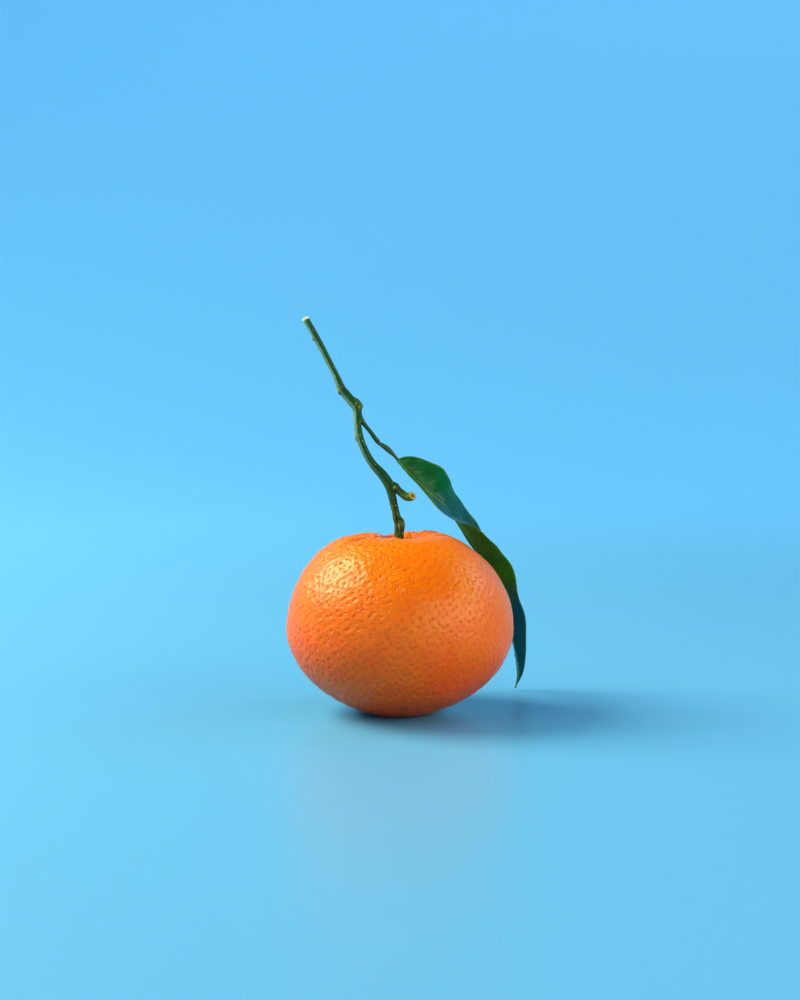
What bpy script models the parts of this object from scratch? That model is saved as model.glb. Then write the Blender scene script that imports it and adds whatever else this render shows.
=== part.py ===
# A mandarin as picked, with its own twig and one leaf, resting on the flat spot at its base.
# Metres, +Z up. The origin is the centre of the flat spot; the leaf hangs past the +X side of the fruit.

import math

import bmesh
import bpy
import numpy as np

MM = 0.001
GAP = 0.3 * MM  # left between two pieces that touch
FRONT = np.array((0.0, -1.0, 0.0))

# Fruit: a flattened ball, fuller above its widest ring than below it
FRUIT_RADIUS = 33.2 * MM
WIDEST_HEIGHT = 24.9 * MM
CROWN_RISE = 29.9 * MM  # from the widest ring to the top that the dimple is pressed into
CROWN_FULLNESS = 2.14
BELLY_DROP = 26.3 * MM  # from the widest ring to the tip that the flat spot cuts off
BELLY_FULLNESS = 1.68
DIMPLE_DEPTH = 6.2 * MM
DIMPLE_SPREAD = 9.5 * MM
FRUIT_SIDES = 72
BELLY_RINGS = 9
CROWN_RINGS = 7
SHOULDER_RADIUS = 18.0 * MM  # inside this the rings are closer, for the dimple and furrows
SHOULDER_RINGS = 12
DIMPLE_CENTRE_RADIUS = 1.2 * MM

# Furrows run from the stalk outwards: direction in degrees from +X, depth, width, reach
FURROWS = (
    (-150, 1.3, 1.7, 13.0),
    (6, 1.5, 1.6, 13.0),
    (62, 0.7, 1.8, 9.0),
    (108, 1.5, 2.6, 12.0),
    (163, 0.9, 1.8, 11.0),
    (-100, 0.5, 1.4, 6.0),
    (-52, 0.5, 1.3, 6.0),
)
# Shoulders that stand a little higher between the furrows: x, y, height, size
SHOULDERS = (
    (-22.0, 1.0, 0.8, 7.0),
    (-9.0, 9.0, 0.3, 5.0),
    (8.0, 9.0, 0.9, 5.5),
    (20.0, 1.0, -0.4, 6.0),
)

# Calyx: the five-pointed green button under the stalk
CALYX_RADIUS = 3.9 * MM
CALYX_NOTCH = 0.26  # how far the edge falls back between two points, as a share of the radius
CALYX_POINTS = 5
CALYX_EDGE = 0.45 * MM
CALYX_CENTRE = 1.1 * MM
CALYX_SIDES = 40

# Twig, from the calyx to the cut tip: x, y, z, radius in mm
STALK_AND_SHOOT = (
    (-0.3, 0.0, 50.4, 1.75),
    (-0.3, 0.0, 52.1, 1.45),
    (-0.1, 0.0, 54.9, 1.45),
    (-0.9, 0.0, 57.2, 1.22),
    (-1.6, 0.0, 60.5, 1.02),
    (-2.2, 0.0, 63.4, 1.12),
    (-3.0, 0.0, 66.2, 1.42),
    (-4.7, 0.2, 69.0, 1.38),
    (-8.0, 0.4, 72.7, 1.15),
    (-10.2, 0.6, 76.5, 1.12),
    (-11.7, 0.8, 80.4, 1.12),
    (-12.3, 0.9, 84.4, 1.03),
    (-12.6, 1.0, 88.8, 1.32),
    (-14.7, 1.1, 91.6, 1.32),
    (-16.8, 1.2, 94.2, 1.22),
    (-18.2, 1.4, 97.4, 1.03),
    (-20.8, 1.6, 102.6, 0.98),
    (-24.0, 1.8, 108.8, 0.97),
    (-27.4, 2.0, 114.9, 0.98),
)
STUB = (
    (-3.1, -0.1, 66.6, 1.20),
    (-1.1, -0.5, 65.4, 1.15),
    (0.6, -1.0, 64.1, 1.10),
    (1.9, -1.5, 63.1, 1.15),
    (3.0, -2.1, 63.1, 1.20),
    (3.8, -2.7, 63.8, 1.15),
)
SIDE_SHOOT = (
    (-12.4, 1.0, 87.4, 0.80),
    (-11.2, 1.2, 84.8, 0.66),
    (-8.8, 1.6, 81.9, 0.62),
    (-7.0, 2.0, 79.6, 0.70),
)
# Bud scars and knobs on the twig: name, x, y, z, radius in mm
KNOBS = (
    ("stalk_knob", 0.7, -0.3, 55.1, 0.80),
    ("node_scar", -11.4, 0.6, 89.6, 1.00),
    ("pruning_scar", -17.3, 0.7, 93.8, 0.80),
    ("bark_bump", -12.5, 0.6, 80.2, 0.65),
    ("tip_bud", -25.0, 1.6, 108.7, 0.50),
)
TWIG_SIDES = 12
SHOOT_SIDES = 10
TWIG_STEPS_PER_POINT = 2

# Petiole: x, y, z, half width of its wings, half thickness, in mm
PETIOLE = (
    (-6.7, 2.1, 79.0, 0.70, 0.62),
    (-5.0, 2.3, 77.9, 0.70, 0.55),
    (-3.6, 2.5, 76.8, 0.90, 0.45),
    (-1.8, 2.8, 75.0, 0.52, 0.42),
    (-0.9, 2.9, 74.0, 0.45, 0.40),
)
PETIOLE_STEPS_PER_POINT = 3

# Leaf blade: its midrib from the petiole to the tip, in mm
MIDRIB = (
    (-0.6, 3.0, 73.6),
    (2.7, 5.0, 69.8),
    (6.0, 7.0, 66.2),
    (9.4, 9.0, 63.1),
    (12.9, 11.0, 60.1),
    (15.8, 12.8, 56.7),
    (18.3, 14.6, 52.9),
    (20.6, 16.5, 49.0),
    (23.1, 18.5, 45.4),
    (26.4, 21.3, 40.0),
    (29.5, 24.0, 33.6),
    (32.2, 26.5, 26.7),
    (34.5, 29.0, 19.4),
    (36.4, 31.4, 12.0),
    (37.3, 33.3, 5.2),
    (36.3, 34.6, 0.6),
)
# How the blade turns along the midrib: share of its length, then degrees.
# Roll tips the upper face to the front; a fold lifts that half towards the upper face.
BLADE_TURNS = (
    # share, roll, fold of the front half, fold of the back half
    (0.00, 45, 46, 18),
    (0.10, 38, 41, 22),
    (0.20, 29, 17, 19),
    (0.25, 23, 19, 5),
    (0.30, 14, 28, 0),
    (0.36, 10, 33, 9),
    (0.42, 6, 39, 17),
    (0.50, -7, 36, 20),
    (0.62, -12, 30, 18),
    (0.80, -24, 39, 27),
    (0.90, -34, 34, 20),
    (1.00, -36, 15, 12),
)
BLADE_HALF_WIDTH = 11.2 * MM
BLADE_WIDEST_AT = 0.34
BLADE_POINTEDNESS = 1.72
BLADE_END_HALF_WIDTH = 0.35 * MM
BLADE_CREASE = 0.55  # share of the fold made at the midrib; the rest bends across the half
BLADE_THICKNESS = 0.5 * MM
BLADE_WAVE = 0.35 * MM
BLADE_WAVES = 5.5
BLADE_STEPS = 36
BLADE_COLUMNS = 4  # on each side of the midrib


def clear_scene():
    for old in list(bpy.data.objects):
        bpy.data.objects.remove(old, do_unlink=True)


def principled(name, color, roughness):
    material = bpy.data.materials.new(name)
    material.use_nodes = True
    shader = material.node_tree.nodes["Principled BSDF"]
    shader.inputs["Base Color"].default_value = (*color, 1.0)
    shader.inputs["Roughness"].default_value = roughness
    shader.inputs["Metallic"].default_value = 0.0
    material.diffuse_color = (*color, 1.0)
    return material


def object_from(bm, name, material):
    mesh = bpy.data.meshes.new(name)
    bm.to_mesh(mesh)
    bm.free()
    mesh.materials.append(material)
    mesh.shade_smooth()
    mesh.set_sharp_from_angle(angle=math.radians(45))
    made = bpy.data.objects.new(name, mesh)
    bpy.context.scene.collection.objects.link(made)
    return made


def skin(rings, name, material):
    """A closed solid through a row of rings, with a flat cap on the first and the last."""
    bm = bmesh.new()
    rows = [[bm.verts.new(point) for point in ring] for ring in rings]
    for low, high in zip(rows, rows[1:]):
        for i, corner in enumerate(low):
            after = (i + 1) % len(low)
            bm.faces.new((corner, low[after], high[after], high[i]))
    bm.faces.new(rows[0][::-1])
    bm.faces.new(rows[-1])
    bmesh.ops.recalc_face_normals(bm, faces=bm.faces)
    return object_from(bm, name, material)


def through(knots, values, at):
    """A smooth curve through the values at the knots (cubic Hermite, slopes from the neighbours)."""
    knots = np.asarray(knots, float)
    values = np.asarray(values, float)
    slopes = np.gradient(values, knots, axis=0)
    span = np.clip(np.searchsorted(knots, at, side="right") - 1, 0, len(knots) - 2)
    length = (knots[span + 1] - knots[span])[:, None]
    t = (at - knots[span])[:, None] / length
    start = (2 * t**3 - 3 * t**2 + 1) * values[span]
    start_slope = (t**3 - 2 * t**2 + t) * length * slopes[span]
    end = (3 * t**2 - 2 * t**3) * values[span + 1]
    end_slope = (t**3 - t**2) * length * slopes[span + 1]
    return start + start_slope + end + end_slope


def smooth_rows(rows, count):
    """Rows in mm read at even shares of the length of the path in their first three columns, in m."""
    rows = np.asarray(rows, float) * MM
    steps = np.linalg.norm(np.diff(rows[:, :3], axis=0), axis=1)
    knots = np.concatenate(([0.0], np.cumsum(steps)))
    return through(knots, rows, np.linspace(0.0, knots[-1], count))


def frames(path):
    """Unit vectors at each point: along the path, towards the front, and to the side."""
    along = np.gradient(path, axis=0)
    along /= np.linalg.norm(along, axis=1)[:, None]
    front = FRONT - along * (along @ FRONT)[:, None]
    front /= np.linalg.norm(front, axis=1)[:, None]
    return along, front, np.cross(front, along)


def tube(path, front_radius, side_radius, sides, name, material):
    _, front, side = frames(path)
    turns = np.linspace(0.0, 2 * math.pi, sides, endpoint=False)
    rings = (
        path[:, None]
        + np.cos(turns)[:, None] * (front * front_radius[:, None])[:, None]
        + np.sin(turns)[:, None] * (side * side_radius[:, None])[:, None]
    )
    return skin(rings, name, material)


def crown_height(x, y):
    """Height of the upper rind over (x, y): the dome, less the dimple and furrows, plus the shoulders."""
    radius = math.hypot(x, y)
    dome = CROWN_RISE * math.sqrt(max(0.0, 1 - (radius / FRUIT_RADIUS) ** CROWN_FULLNESS))
    dimple = DIMPLE_DEPTH * math.exp(-((radius / DIMPLE_SPREAD) ** 2))
    height = WIDEST_HEIGHT + dome - dimple
    for degrees, depth, width, reach in FURROWS:
        turn = math.radians(degrees)
        along = x * math.cos(turn) + y * math.sin(turn)
        across = y * math.cos(turn) - x * math.sin(turn)
        middle = 0.75 * reach * MM
        fade = math.exp(-(((along - middle) / (0.6 * reach * MM)) ** 2))
        height -= depth * MM * fade * math.exp(-((across / (width * MM)) ** 2))
    for centre_x, centre_y, rise, size in SHOULDERS:
        away = math.hypot(x - centre_x * MM, y - centre_y * MM) / (size * MM)
        height += rise * MM * math.exp(-(away**2))
    return height


def circle(radius, sides):
    turns = np.linspace(0.0, 2 * math.pi, sides, endpoint=False)
    return radius * np.cos(turns), radius * np.sin(turns)


def make_fruit():
    """Rings from the flat spot up the belly, over the crown and down into the dimple."""
    flat_cosine = math.sqrt(1 - (WIDEST_HEIGHT / BELLY_DROP) ** 2)
    rings = []
    for lift in np.linspace(-math.acos(flat_cosine), 0.0, BELLY_RINGS):
        radius = FRUIT_RADIUS * math.cos(lift) ** (2 / BELLY_FULLNESS)
        height = max(0.0, WIDEST_HEIGHT + BELLY_DROP * math.sin(lift))
        rings.append([(x, y, height) for x, y in zip(*circle(radius, FRUIT_SIDES))])
    shoulder_lift = math.acos((SHOULDER_RADIUS / FRUIT_RADIUS) ** (CROWN_FULLNESS / 2))
    lifts = np.linspace(0.0, shoulder_lift, CROWN_RINGS + 1)[1:]
    radii = list(FRUIT_RADIUS * np.cos(lifts) ** (2 / CROWN_FULLNESS))
    radii += list(np.linspace(SHOULDER_RADIUS, DIMPLE_CENTRE_RADIUS, SHOULDER_RINGS + 1)[1:])
    for radius in radii:
        rings.append([(x, y, crown_height(x, y)) for x, y in zip(*circle(radius, FRUIT_SIDES))])
    return skin(rings, "fruit", principled("mandarin_rind", (0.86, 0.26, 0.03), 0.42))


def make_calyx():
    """A star-edged button: its under side follows the dimple, its top rises to the stalk."""
    turns = np.linspace(0.0, 2 * math.pi, CALYX_SIDES, endpoint=False)
    edge = CALYX_RADIUS * (1 - CALYX_NOTCH * (0.5 + 0.5 * np.cos(CALYX_POINTS * turns)))
    layers = [(share, 0.0) for share in (0.25, 0.6, 1.0)]
    layers += [(share, 1.0) for share in (0.97, 0.7, 0.42)]
    rings = []
    for share, top in layers:
        ring = []
        for x, y in zip(share * edge * np.cos(turns), share * edge * np.sin(turns)):
            under = crown_height(x, y) + GAP
            thickness = CALYX_EDGE + (CALYX_CENTRE - CALYX_EDGE) * (1 - share**2)
            ring.append((x, y, under + top * thickness))
        rings.append(ring)
    return skin(rings, "calyx", principled("calyx_green", (0.16, 0.24, 0.06), 0.6))


def hidden_helper(helper):
    helper.hide_render = True
    helper.display_type = "WIRE"
    return helper


def join_on(base, helper):
    """The helper becomes part of the base, with a Boolean union."""
    union = base.modifiers.new(f"with {helper.name}", "BOOLEAN")
    union.operation = "UNION"
    union.solver = "EXACT"
    union.object = hidden_helper(helper)


def make_knob(name, centre, radius, material):
    bm = bmesh.new()
    bmesh.ops.create_icosphere(bm, subdivisions=2, radius=radius)
    bmesh.ops.translate(bm, verts=bm.verts, vec=centre)
    return object_from(bm, name, material)


def make_shoot(rows, sides, name, material):
    path = smooth_rows(rows, (len(rows) - 1) * TWIG_STEPS_PER_POINT + 1)
    return tube(path[:, :3], path[:, 3], path[:, 3], sides, name, material)


def make_twig():
    bark = principled("young_citrus_bark", (0.06, 0.13, 0.05), 0.6)
    twig = make_shoot(STALK_AND_SHOOT, TWIG_SIDES, "twig", bark)
    join_on(twig, make_shoot(STUB, SHOOT_SIDES, "stub", bark))
    join_on(twig, make_shoot(SIDE_SHOOT, SHOOT_SIDES, "side_shoot", bark))
    for name, x, y, z, radius in KNOBS:
        join_on(twig, make_knob(name, (x * MM, y * MM, z * MM), radius * MM, bark))
    return twig


def make_petiole():
    path = smooth_rows(PETIOLE, (len(PETIOLE) - 1) * PETIOLE_STEPS_PER_POINT + 1)
    green = principled("petiole_green", (0.08, 0.2, 0.06), 0.5)
    return tube(path[:, :3], path[:, 4], path[:, 3], SHOOT_SIDES, "petiole", green)


def blade_sheet():
    """Rows of points across the blade, from the petiole to the tip.

    Half width = most * (s/m)^(m p) * ((1-s)/(1-m))^((1-m) p), widest at s = m. Each half leaves the
    midrib in the direction cos(fold) * across +- sin(fold) * face, and the fold grows outwards.
    """
    shares = np.linspace(0.0, 1.0, BLADE_STEPS + 1)
    midrib = smooth_rows(MIDRIB, BLADE_STEPS + 1)
    _, front, side = frames(midrib)
    turns = np.array(BLADE_TURNS, float)
    roll, front_fold, back_fold = np.radians(through(turns[:, 0], turns[:, 1:], shares)).T
    face = np.cos(roll)[:, None] * side + np.sin(roll)[:, None] * front
    across = np.cos(roll)[:, None] * front - np.sin(roll)[:, None] * side
    towards_base = (shares / BLADE_WIDEST_AT) ** (BLADE_WIDEST_AT * BLADE_POINTEDNESS)
    towards_tip = ((1 - shares) / (1 - BLADE_WIDEST_AT)) ** ((1 - BLADE_WIDEST_AT) * BLADE_POINTEDNESS)
    half_width = np.maximum(BLADE_HALF_WIDTH * towards_base * towards_tip, BLADE_END_HALF_WIDTH)
    columns = np.linspace(-1.0, 1.0, 2 * BLADE_COLUMNS + 1)
    fold = np.where(columns > 0, front_fold[:, None], back_fold[:, None])
    fold = fold * (BLADE_CREASE + (1 - BLADE_CREASE) * np.abs(columns))
    out = half_width[:, None] * columns
    lift = np.abs(out) * np.sin(fold)
    wave = BLADE_WAVE * np.sin(2 * math.pi * (BLADE_WAVES * shares + 0.25))
    lift += (wave * half_width / BLADE_HALF_WIDTH)[:, None] * columns**2
    spread = (out * np.cos(fold))[:, :, None] * across[:, None]
    return midrib[:, None] + spread + lift[:, :, None] * face[:, None]


def make_leaf_blade():
    bm = bmesh.new()
    rows = [[bm.verts.new(point) for point in row] for row in blade_sheet()]
    for low, high in zip(rows, rows[1:]):
        for i in range(len(low) - 1):
            bm.faces.new((low[i], low[i + 1], high[i + 1], high[i]))
    blade = object_from(bm, "leaf_blade", principled("glossy_leaf", (0.02, 0.14, 0.05), 0.3))
    solidify = blade.modifiers.new("thickness", "SOLIDIFY")
    solidify.thickness = BLADE_THICKNESS
    solidify.offset = 0.0
    return blade


def main():
    clear_scene()
    mandarin = bpy.data.objects.new("mandarin", None)
    bpy.context.scene.collection.objects.link(mandarin)
    pieces = (make_fruit(), make_calyx(), make_twig(), make_petiole(), make_leaf_blade())
    for piece in pieces:
        piece.parent = mandarin


main()
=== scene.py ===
import functools
import math

import bpy
import numpy as np
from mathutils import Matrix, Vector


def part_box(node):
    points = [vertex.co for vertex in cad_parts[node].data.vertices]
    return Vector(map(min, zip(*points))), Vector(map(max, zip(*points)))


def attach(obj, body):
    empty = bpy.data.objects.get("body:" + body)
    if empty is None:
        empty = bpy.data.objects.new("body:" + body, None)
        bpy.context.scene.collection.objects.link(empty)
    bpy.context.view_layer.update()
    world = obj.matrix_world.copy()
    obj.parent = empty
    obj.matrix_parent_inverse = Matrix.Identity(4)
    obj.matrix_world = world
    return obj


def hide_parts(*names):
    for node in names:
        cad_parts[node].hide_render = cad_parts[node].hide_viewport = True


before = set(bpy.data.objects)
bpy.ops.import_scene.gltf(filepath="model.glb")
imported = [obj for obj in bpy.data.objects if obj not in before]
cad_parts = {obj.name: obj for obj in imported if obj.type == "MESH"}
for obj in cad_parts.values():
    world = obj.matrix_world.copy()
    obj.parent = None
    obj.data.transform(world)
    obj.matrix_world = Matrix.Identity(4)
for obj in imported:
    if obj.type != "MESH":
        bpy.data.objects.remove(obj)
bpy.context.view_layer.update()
print("frame loaded:", ", ".join(sorted(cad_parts)))

mm = 0.001
frontward = np.array((0.0, -1.0, 0.0))


def hexColor(code):
    # sRGB to linear: c / 12.92 up to 0.04045, and ((c + 0.055) / 1.055) ^ 2.4 above it
    shares = np.array([int(code[i:i + 2], 16) for i in (1, 3, 5)]) / 255
    linear = np.where(shares <= 0.04045, shares / 12.92, ((shares + 0.055) / 1.055) ** 2.4)
    return (*linear.tolist(), 1.0)


def smoothStep(low, high, value):
    # 3 t^2 - 2 t^3, with t the share of the way from low to high
    t = np.clip((value - low) / (high - low), 0, 1)
    return t * t * (3 - 2 * t)


def bell(value, size):
    # e^(-(value / size)^2): one at nought, 0.37 at the size, and next to nothing from twice the size on
    return np.exp(-((value / size) ** 2))


def evenTurns(count):
    return np.linspace(0, 2 * math.pi, count, endpoint=False)


def softSpots(points, rows):
    # the strongest of the bells round some places; each row has a place and a size in mm
    spots = [bell(np.linalg.norm(points - np.array(row[:-1]) * mm, axis=-1), row[-1] * mm) for row in rows]
    return np.maximum.reduce(spots)


def scattered(cells, seed):
    # a number from 0 to 1 that belongs to each cell of a lattice: its three indices, multiplied and mixed
    mixed = (cells * (73856093, 19349663, 83492791)).sum(-1) + seed * 2654435761
    for shift, factor in ((13, 1274126177), (16, 2246822519), (15, 3266489917)):
        mixed = ((mixed ^ (mixed >> shift)) * factor) & 0xFFFFFFFF
    return mixed / 0xFFFFFFFF


def softNoise(points, size, seed):
    # lattice noise from -1 to 1: the numbers at the eight corners round a point, blended by smooth shares
    places = points / size
    cells = np.floor(places).astype(np.int64)
    shares = places - cells
    shares = shares * shares * (3 - 2 * shares)
    total = 0
    for corner in np.stack(np.meshgrid((0, 1), (0, 1), (0, 1)), -1).reshape(-1, 3):
        weight = np.prod(np.where(corner == 1, shares, 1 - shares), axis=-1)
        total = total + weight * scattered(cells + corner, seed)
    return 2 * total - 1


def cellSpots(points, normals, size, seed):
    # one spot in every cube of this size, dropped onto the skin if it lies within half a cube of it:
    # how far along the skin the nearest one is, and a number from 0 to 1 that the spot owns
    cells = np.floor(points / size).astype(np.int64)
    nearest = np.full(points.shape[:-1], 2 * size)
    owned = np.zeros(points.shape[:-1])
    steps = (-1, 0, 1)
    for step in np.stack(np.meshgrid(steps, steps, steps), -1).reshape(-1, 3):
        cell = cells + step
        jitter = np.stack([scattered(cell, seed + k) for k in (1, 2, 3)], axis=-1)
        gap = (cell + jitter) * size - points
        lift = (gap * normals).sum(-1)
        gap = gap - lift[..., None] * normals
        away = np.linalg.norm(gap, axis=-1)
        closer = (away < nearest) & (np.abs(lift) < size / 2)
        nearest = np.where(closer, away, nearest)
        owned = np.where(closer, scattered(cell, seed + 4), owned)
    return nearest, owned


def through(knots, values, at):
    # a smooth curve through the values at the knots: cubic Hermite, with slopes from the neighbours
    knots = np.asarray(knots, float)
    values = np.asarray(values, float)
    slopes = np.gradient(values, knots, axis=0)
    span = np.clip(np.searchsorted(knots, at, side="right") - 1, 0, len(knots) - 2)
    length = (knots[span + 1] - knots[span])[:, None]
    t = (at - knots[span])[:, None] / length
    start = (2 * t**3 - 3 * t**2 + 1) * values[span] + (t**3 - 2 * t**2 + t) * length * slopes[span]
    end = (3 * t**2 - 2 * t**3) * values[span + 1] + (t**3 - t**2) * length * slopes[span + 1]
    return start + end


def smoothRows(rows, count):
    # rows read at even shares of the length of the path that their first three columns draw
    rows = np.asarray(rows, float)
    steps = np.linalg.norm(np.diff(rows[:, :3], axis=0), axis=1)
    knots = np.concatenate(([0.0], np.cumsum(steps)))
    return through(knots, rows, np.linspace(0, knots[-1], count))


def pathFrames(path):
    # unit vectors at each point of a path: along it, towards the front, and their cross product to the side
    along = np.gradient(path, axis=0)
    along /= np.linalg.norm(along, axis=1)[:, None]
    front = frontward - along * (along @ frontward)[:, None]
    front /= np.linalg.norm(front, axis=1)[:, None]
    return along, front, np.cross(front, along)


def gridNormals(points, wrapped):
    # unit cross product of a grid's two directions; wrapped means that its last column meets its first
    up = np.gradient(points, axis=0)
    if wrapped:
        over = np.roll(points, -1, axis=1) - np.roll(points, 1, axis=1)
    else:
        over = np.gradient(points, axis=1)
    normals = np.cross(over, up)
    return normals / np.maximum(np.linalg.norm(normals, axis=2), 1e-12)[:, :, None]


def gridQuads(rows, columns, wrapped):
    # the four corner numbers of every cell of a grid of points that are numbered row by row
    numbers = np.arange(rows * columns).reshape(rows, columns)
    if wrapped:
        numbers = np.concatenate((numbers, numbers[:, :1]), axis=1)
    corners = (numbers[:-1, :-1], numbers[:-1, 1:], numbers[1:, 1:], numbers[1:, :-1])
    return np.stack(corners, axis=-1).reshape(-1, 4)


def meshOf(name, points, faces):
    # points (n, 3) and arrays of faces, each with its own corner count, put into a mesh as whole arrays
    corners = np.concatenate([part.ravel() for part in faces])
    sizes = np.concatenate([np.full(len(part), part.shape[1]) for part in faces])
    mesh = bpy.data.meshes.new(name)
    mesh.vertices.add(len(points))
    mesh.vertices.foreach_set("co", np.asarray(points, np.float32).ravel())
    mesh.loops.add(len(corners))
    mesh.loops.foreach_set("vertex_index", corners.astype(np.int32))
    mesh.polygons.add(len(sizes))
    mesh.polygons.foreach_set("loop_start", (np.cumsum(sizes) - sizes).astype(np.int32))
    mesh.update(calc_edges=True)
    mesh.shade_smooth()
    return mesh


def addMarks(mesh, marks, ends=()):
    # each mark is one number or one vector per point, read by name in the materials; a tube's grid of
    # numbers is followed by the numbers for its two end points
    for name, values in marks.items():
        values = (np.append(values, ends) if ends else values).astype(np.float32)
        kind, key = ("FLOAT_VECTOR", "vector") if values.ndim == 2 else ("FLOAT", "value")
        mesh.attributes.new(name, kind, "POINT").data.foreach_set(key, values.ravel())


def closedTube(rings):
    # points and faces of a surface through rings (rows, columns, 3), with a fan of triangles at each end
    rows, columns = rings.shape[:2]
    ends = rings[[0, -1]].mean(axis=1)
    points = np.concatenate((rings.reshape(-1, 3), ends))
    around = np.arange(columns)
    after = np.roll(around, -1)
    last = (rows - 1) * columns
    first = np.stack((after, around, np.full(columns, rows * columns)), axis=-1)
    final = np.stack((last + around, last + after, np.full(columns, rows * columns + 1)), axis=-1)
    return points, [gridQuads(rows, columns, True), first, final]


def addObject(name, data):
    holder = bpy.data.objects.new(name, data)
    bpy.context.scene.collection.objects.link(holder)
    return holder


def addPiece(name, mesh, material, node):
    # the finished object at the origin: it rides on the one body and stands for its CAD node
    mesh.materials.append(material)
    piece = addObject(name, mesh)
    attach(piece, "root")
    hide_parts(node)
    print(name, len(mesh.vertices), "points")


def feed(node, inputs):
    # each input gets a number, a colour's hex code, or the socket that feeds it
    for name, value in inputs.items():
        if isinstance(value, bpy.types.NodeSocket):
            node.id_data.links.new(value, node.inputs[name])
        else:
            node.inputs[name].default_value = hexColor(value) if isinstance(value, str) else value


def addNode(tree, kind, inputs=None, output=None, **settings):
    # one node with its settings and inputs; gives back the named output, or the first one in use
    node = tree.nodes.new("ShaderNode" + kind)
    for name, value in settings.items():
        setattr(node, name, value)
    feed(node, inputs or {})
    return node.outputs[output] if output else next(socket for socket in node.outputs if socket.enabled)


def readMarks(add, *names):
    # the numbers that addMarks put on the mesh, as sockets under the same names
    return {name: add("Attribute", output="Fac", attribute_name=name) for name in names}


def newMaterial(name):
    # the material, addNode bound to its tree, and its shader
    material = bpy.data.materials.new(name)
    material.use_nodes = True
    tree = material.node_tree
    return material, functools.partial(addNode, tree), tree.nodes["Principled BSDF"]


# for a MapRange node that eases in and out
eased = {"interpolation_type": "SMOOTHSTEP"}


# a long lens, level with the top of the stalk and tipped down a little
camera = {"distance": 450 * mm, "height": 89.35 * mm, "tippedDown": 3.464, "lens": 55.87,
          "sensor": 36, "nearest": 0.01}


def addCamera():
    lens = bpy.data.cameras.new("camera")
    lens.lens = camera["lens"]
    lens.sensor_width = camera["sensor"]
    lens.clip_start = camera["nearest"]
    holder = addObject("camera", lens)
    holder.location = (0, -camera["distance"], camera["height"])
    holder.rotation_euler = (math.radians(90 - camera["tippedDown"]), 0, 0)
    bpy.context.scene.camera = holder


fruitLow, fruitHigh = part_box("fruit")
fruit = {
    "radius": (fruitHigh.x - fruitLow.x) / 2,
    "columns": 432,
    "rows": 208,
    "widest": 0.75,  # heights and depths down to the dimple are shares of the radius
    "crownRise": 0.9,
    "crownFullness": 2.14,
    "bellyDrop": 0.792,
    "bellyFullness": 1.68,
    "dimpleDepth": 0.187,
    "dimpleSpread": 0.286,
    "furrows": (  # degrees from +X, then depth, width and reach in mm
        (-150, 1.3, 1.7, 13.0), (6, 2.2, 1.3, 13.0), (62, 0.8, 1.6, 9.0), (108, 1.5, 2.5, 12.0),
        (163, 1.2, 1.5, 11.0), (-100, 0.5, 1.3, 6.0), (-52, 0.5, 1.2, 6.0),
    ),
    "shoulders": (  # x, y, height and size in mm
        (-22.0, 1.0, 0.8, 7.0), (-9.0, 9.0, 0.3, 5.0), (8.0, 9.0, 0.9, 5.5), (20.0, 1.0, -0.4, 6.0),
        (-1.4, -8.6, 0.75, 2.3), (-7.6, -8.2, 0.45, 2.6), (5.4, -8.8, 0.35, 2.4),
        (2.0, -8.0, -0.35, 1.2),
    ),
    "poreSpacing": 2.15 * mm,
    "poreRadius": 0.30 * mm,
    "hollowRadius": 0.65 * mm,
    "hollowDepth": 0.18 * mm,
    "domeSpacing": 1.75 * mm,
    "domeRadius": 0.68 * mm,
    "domeHeight": 0.23 * mm,
    "sunk": 0.07 * mm,
    "highest": 0.2 * mm,
    "swellings": ((11.0, 0.16, 3), (4.2, 0.12, 8)),  # size and height in mm, and the noise's seed
    "puckered": (6 * mm, 4 * mm),  # a ring's distance from the axis and its breadth
    # painted sheen: a pale ring round the stalk, on the crest between the furrows
    "crestSheenRing": (9.5 * mm, 2.4 * mm),
    "puckers": 19,
    "puckerHeight": 0.16 * mm,
    # painted shade: the furrows are coloured darker with their depth, and the hollows behind the crest deep
    # orange-red
    "furrowShadeDepths": (0.1 * mm, 1.3 * mm),  # the depths where its colour begins and is full
    "calmSide": 0.3,  # share of the relief that is missing on the side of +X, between these places
    "calming": (-2 * mm, 16 * mm),
    "hollowShadeStrength": 0.6,
    "hollowShadeSpots": (  # x, y and size in mm: deep orange hollows behind the crest, right and left of the stalk
        (4.8, 6.6, 2.8), (9.0, 7.6, 3.2), (13.4, 7.0, 2.6), (-5.6, 2.6, 2.0),
    ),
    "specks": (  # x, y, z and size in mm: dark dots
        (-16.8, -17.8, 45.5, 0.42), (-13.6, -24.6, 39.0, 0.2), (6.4, -31.0, 22.6, 0.2),
    ),
    "scars": (  # x, y, z and size in mm: the corky scar in front, specks, and scuffs low on the left
        (0.8, -29.2, 39.3, 0.9), (-1.8, -29.4, 38.9, 0.4), (2.4, -30.2, 37.5, 0.4),
        (0.8, -31.2, 35.2, 0.5), (9.7, -20.7, 46.9, 0.35), (-20.4, -25.7, 22.0, 0.8),
        (-21.9, -23.0, 18.2, 0.7), (-20.1, -21.5, 13.7, 0.7), (-18.6, -17.8, 9.4, 0.6),
        (-7.1, -27.7, 12.6, 0.8), (-4.7, -26.0, 10.1, 0.6),
    ),
}


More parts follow.
